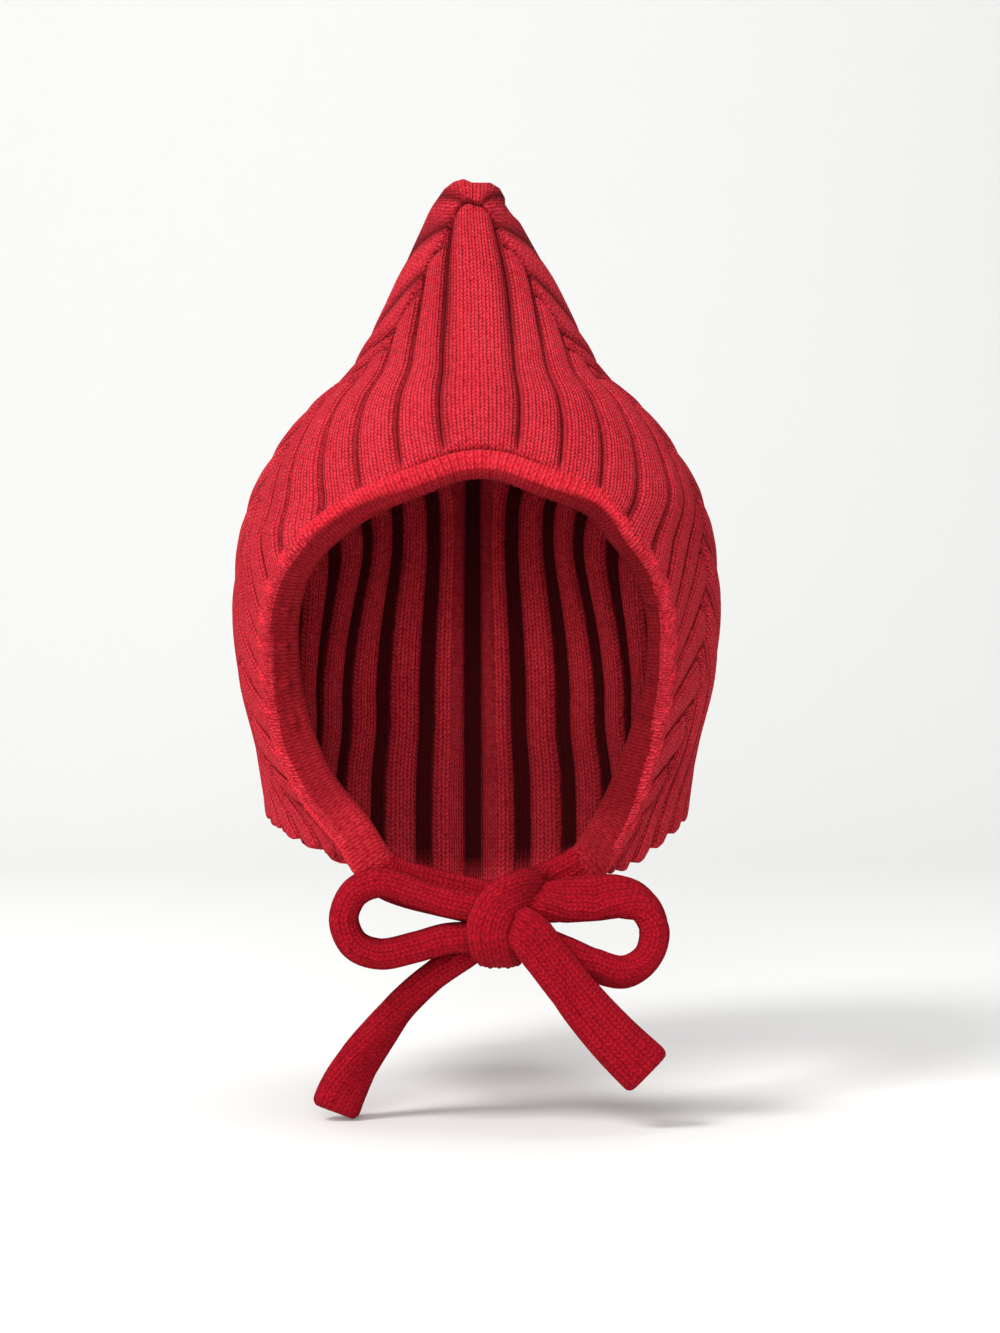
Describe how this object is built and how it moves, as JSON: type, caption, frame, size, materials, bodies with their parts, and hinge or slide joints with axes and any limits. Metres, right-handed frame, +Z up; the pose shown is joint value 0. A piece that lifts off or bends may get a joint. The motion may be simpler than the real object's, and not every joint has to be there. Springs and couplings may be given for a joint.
{
  "type": "knitted pointed bonnet with ties",
  "caption": "Pointed knitted bonnet with wide mitred ribs, a bound face opening and flat knitted ties in a bow under the chin.",
  "frame": {"origin": "where the crown of the wearer's head sits inside the hood, on its middle plane", "axes": "+Z up, -Y the way the face looks, +X to the right seen from the front"},
  "size_m": [0.2086, 0.233, 0.3872],
  "materials": {
    "rib_knit": "soft matte wide-rib knit",
    "band_knit": "soft matte plain knit band",
    "tie_knit": "soft matte flat tubular knit"
  },
  "bodies": {
    "root": {"hood_shell": "rib_knit", "face_band": "band_knit", "tie_strap_left": "tie_knit", "tie_strap_right": "tie_knit", "bow_loop_left": "tie_knit", "bow_loop_right": "tie_knit", "bow_tail_left": "tie_knit", "bow_tail_right": "tie_knit", "bow_knot": "tie_knit"}
  },
  "joints": []
}
